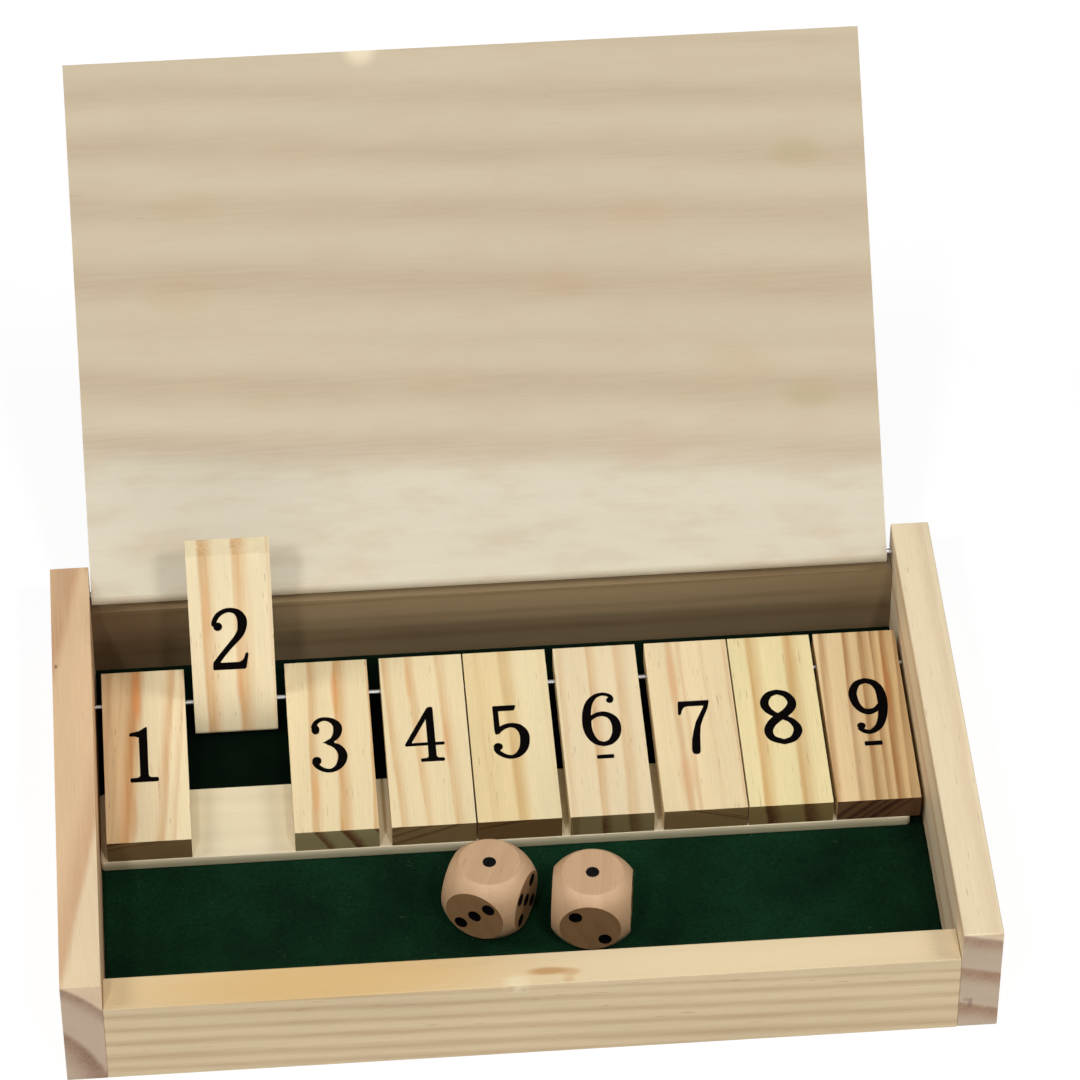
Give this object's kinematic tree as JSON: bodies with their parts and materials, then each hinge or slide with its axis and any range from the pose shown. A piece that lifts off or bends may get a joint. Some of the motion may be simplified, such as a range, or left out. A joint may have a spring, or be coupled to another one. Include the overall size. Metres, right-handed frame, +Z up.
{
  "type": "shut the box game",
  "caption": "Shallow wooden tray with a hinged lid, a row of numbered tiles that flip up on one steel rod over a felt floor, and loose wooden dice.",
  "frame": {"origin": "centre of the box's underside, on the surface that it stands on", "axes": "+X to the right along the row of tiles, +Y to the back where the lid is hinged, +Z up out of the tray"},
  "size_m": [0.215, 0.2239, 0.1198],
  "materials": {
    "wall_pine": "sanded pine, clear sealed",
    "panel_wood": "thin plywood",
    "slat_wood": "thin pale strip",
    "lid_wood": "thin pale panel, sanded smooth",
    "tile_pine": "sanded pine, clear sealed",
    "felt": "short green felt",
    "steel": "bright drawn wire",
    "dice_beech": "turned beech, waxed"
  },
  "bodies": {
    "box": {"left_side_wall": "wall_pine", "right_side_wall": "wall_pine", "front_wall": "wall_pine", "back_wall": "wall_pine", "base_panel": "panel_wood", "felt_lining": "felt", "rest_slat": "slat_wood", "pivot_rod": "steel", "lid_nail_left": "steel", "lid_nail_right": "steel"},
    "lid": {"lid_panel": "lid_wood"},
    "tile_1": {"tile_1": "tile_pine"},
    "tile_2": {"tile_2": "tile_pine"},
    "tile_3": {"tile_3": "tile_pine"},
    "tile_4": {"tile_4": "tile_pine"},
    "tile_5": {"tile_5": "tile_pine"},
    "tile_6": {"tile_6": "tile_pine"},
    "tile_7": {"tile_7": "tile_pine"},
    "tile_8": {"tile_8": "tile_pine"},
    "tile_9": {"tile_9": "tile_pine"},
    "die_left": {"die_left": "dice_beech"},
    "die_right": {"die_right": "dice_beech"}
  },
  "joints": [
    {"name": "lid_hinge", "type": "hinge", "parent": "box", "child": "lid", "pos_m": [0, 0.0639, 0.026], "axis": [-1, 0, 0], "range_deg": [-134.4, 0]},
    {"name": "tile_1_pivot", "type": "hinge", "parent": "box", "child": "tile_1", "pos_m": [0, 0.03925, 0.012], "axis": [-1, 0, 0], "range_deg": [0, 99.6]},
    {"name": "tile_2_pivot", "type": "hinge", "parent": "box", "child": "tile_2", "pos_m": [0, 0.03925, 0.012], "axis": [-1, 0, 0], "range_deg": [-99.6, 0]},
    {"name": "tile_3_pivot", "type": "hinge", "parent": "box", "child": "tile_3", "pos_m": [0, 0.03925, 0.012], "axis": [-1, 0, 0], "range_deg": [0, 99.6]},
    {"name": "tile_4_pivot", "type": "hinge", "parent": "box", "child": "tile_4", "pos_m": [0, 0.03925, 0.012], "axis": [-1, 0, 0], "range_deg": [0, 99.6]},
    {"name": "tile_5_pivot", "type": "hinge", "parent": "box", "child": "tile_5", "pos_m": [0, 0.03925, 0.012], "axis": [-1, 0, 0], "range_deg": [0, 99.6]},
    {"name": "tile_6_pivot", "type": "hinge", "parent": "box", "child": "tile_6", "pos_m": [0, 0.03925, 0.012], "axis": [-1, 0, 0], "range_deg": [0, 99.6]},
    {"name": "tile_7_pivot", "type": "hinge", "parent": "box", "child": "tile_7", "pos_m": [0, 0.03925, 0.012], "axis": [-1, 0, 0], "range_deg": [0, 99.6]},
    {"name": "tile_8_pivot", "type": "hinge", "parent": "box", "child": "tile_8", "pos_m": [0, 0.03925, 0.012], "axis": [-1, 0, 0], "range_deg": [0, 99.6]},
    {"name": "tile_9_pivot", "type": "hinge", "parent": "box", "child": "tile_9", "pos_m": [0, 0.03925, 0.012], "axis": [-1, 0, 0], "range_deg": [0, 99.6]},
    {"name": "die_left_lift", "type": "slide", "parent": "box", "child": "die_left", "axis": [0, 0, 1], "range_m": [0, 0.03]},
    {"name": "die_right_lift", "type": "slide", "parent": "box", "child": "die_right", "axis": [0, 0, 1], "range_m": [0, 0.03]}
  ],
  "couplings": [
    {"joint": "tile_2_pivot", "follows": "lid_hinge", "ratio": 0.741}
  ]
}
